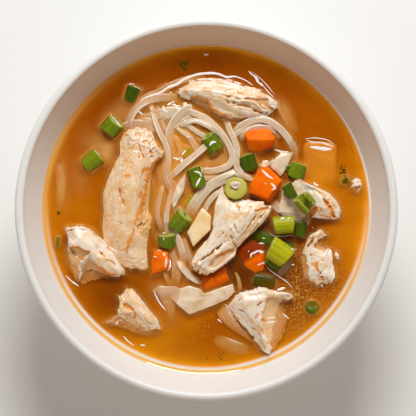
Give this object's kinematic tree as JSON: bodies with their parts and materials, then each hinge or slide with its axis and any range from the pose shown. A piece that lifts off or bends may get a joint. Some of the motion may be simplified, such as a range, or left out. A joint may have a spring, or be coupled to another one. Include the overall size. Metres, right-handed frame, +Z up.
{
  "type": "bowl of chicken noodle soup",
  "caption": "Round footed bowl of chicken noodle soup: amber broth, rice noodles, torn chicken, carrot, spring onion and pale slices.",
  "frame": {"origin": "middle of the foot ring's underside, where the bowl stands", "axes": "+Z up through the bowl's middle; +Y towards the back, where the light comes from; +X to the right"},
  "size_m": [0.17, 0.17, 0.072],
  "materials": {
    "glazed_ceramic": "off-white glaze, satin gloss, faint speckle",
    "broth": "amber broth, wet and cloudy, with oil and fine crumbs",
    "noodle": "flat translucent rice noodle, wet",
    "chicken": "torn cooked breast meat with fibres, seasoning specks and orange oil",
    "carrot": "cooked carrot, wet cut faces",
    "spring_onion": "wet green onion leaf with fine ribs",
    "pale_slice": "thin translucent pale vegetable slice, wet",
    "potato": "cream cooked potato, amber where wet"
  },
  "bodies": {
    "root": {"bowl": "glazed_ceramic", "broth": "broth", "noodle_nest": "noodle", "chicken_back_slice": "chicken", "chicken_large_slab": "chicken", "chicken_left_chunk": "chicken", "chicken_front_chunk": "chicken", "chicken_folded_piece": "chicken", "chicken_shredded_fan": "chicken", "chicken_right_slice": "chicken", "chicken_crumbly_piece": "chicken", "chicken_bit_1": "chicken", "chicken_bit_2": "chicken", "carrot_1": "carrot", "carrot_2": "carrot", "carrot_3": "carrot", "carrot_4": "carrot", "carrot_5": "carrot", "slice_1": "pale_slice", "slice_2": "pale_slice", "slice_3": "pale_slice", "slice_4": "pale_slice", "potato_piece": "potato", "onion_1": "spring_onion", "onion_2": "spring_onion", "onion_3": "spring_onion", "onion_4": "spring_onion", "onion_5": "spring_onion", "onion_6": "spring_onion", "onion_7": "spring_onion", "onion_8": "spring_onion", "onion_9": "spring_onion", "onion_10": "spring_onion", "onion_11": "spring_onion", "onion_12": "spring_onion", "onion_13": "spring_onion", "onion_14": "spring_onion", "onion_15": "spring_onion", "onion_16": "spring_onion"}
  },
  "joints": []
}
